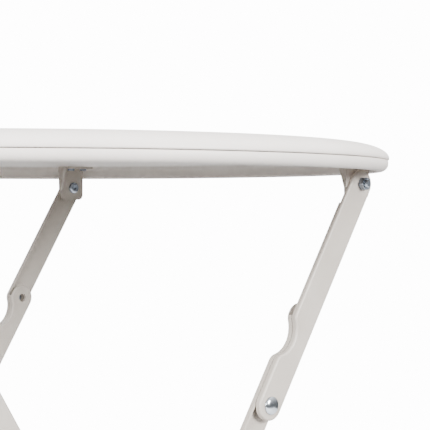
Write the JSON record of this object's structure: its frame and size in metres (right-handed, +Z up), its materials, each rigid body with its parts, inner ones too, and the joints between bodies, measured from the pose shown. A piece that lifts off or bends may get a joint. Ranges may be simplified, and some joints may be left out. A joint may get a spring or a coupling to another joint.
{
  "type": "folding table",
  "caption": "Round moulded table on crossed steel legs that fold flat under the top, held open by straight locking stays with finger grips.",
  "frame": {"origin": "on the floor, under the middle of the round top", "axes": "+Z up, +X from the inner legs' hinges to the stay brackets, Y along the hinge axes, with the nearer side of the pictured table at -Y"},
  "size_m": [0.8, 0.8, 1.1],
  "materials": {
    "top_plastic": "fine satin moulded plastic",
    "underside_plastic": "fine satin moulded plastic",
    "coated_steel": "light grey powder coat, satin",
    "zinc_hardware": "bright zinc plating",
    "polished_rivet": "nickel plating, domed and polished",
    "foot_rubber": "matt dark rubber"
  },
  "bodies": {
    "tabletop": {"top_moulding": "top_plastic", "underside_moulding": "underside_plastic", "stay_bracket_near": "coated_steel", "stay_bracket_far": "coated_steel", "hinge_bracket_near": "coated_steel", "hinge_bracket_far": "coated_steel", "bracket_screws": "zinc_hardware", "stay_bolt_near": "zinc_hardware", "stay_bolt_far": "zinc_hardware", "stay_nut_near": "zinc_hardware", "stay_nut_far": "zinc_hardware", "hinge_bolt_near": "zinc_hardware", "hinge_bolt_far": "zinc_hardware", "hinge_nut_near": "zinc_hardware", "hinge_nut_far": "zinc_hardware"},
    "upper_links": {"upper_link_near": "coated_steel", "upper_link_far": "coated_steel", "catch_stud_near": "zinc_hardware", "catch_stud_far": "zinc_hardware"},
    "outer_legs": {"outer_leg_near": "coated_steel", "outer_leg_far": "coated_steel", "knee_rivet_near": "polished_rivet", "knee_rivet_far": "polished_rivet", "knee_bush_near": "zinc_hardware", "knee_bush_far": "zinc_hardware", "stub_axle_near": "zinc_hardware", "stub_axle_far": "zinc_hardware", "axle_cap_near": "zinc_hardware", "axle_cap_far": "zinc_hardware", "axle_sleeve_near": "coated_steel", "axle_sleeve_far": "coated_steel", "outer_shoe_near": "foot_rubber", "outer_shoe_far": "foot_rubber", "outer_stretcher": "coated_steel"},
    "inner_legs": {"inner_leg_near": "coated_steel", "inner_leg_far": "coated_steel", "crossing_tube": "coated_steel", "crossing_washer_near": "zinc_hardware", "crossing_washer_far": "zinc_hardware", "foot_bar": "coated_steel", "bar_cap_near": "foot_rubber", "bar_cap_far": "foot_rubber"}
  },
  "joints": [
    {"name": "leg_hinge", "type": "hinge", "parent": "tabletop", "child": "inner_legs", "pos_m": [-0.27, 0, 1.058], "axis": [0, -1, 0], "range_deg": [0, 56]},
    {"name": "stay_hinge", "type": "hinge", "parent": "tabletop", "child": "upper_links", "pos_m": [0.27, 0, 1.058], "axis": [0, 1, 0], "range_deg": [0, 58.4]},
    {"name": "knee", "type": "hinge", "parent": "upper_links", "child": "outer_legs", "pos_m": [0.12732, 0, 0.82878], "axis": [0, -1, 0], "range_deg": [0, 175.9]}
  ],
  "couplings": [
    {"joint": "stay_hinge", "follows": "leg_hinge", "ratio": 1.0411},
    {"joint": "knee", "follows": "leg_hinge", "ratio": 3.1375}
  ]
}
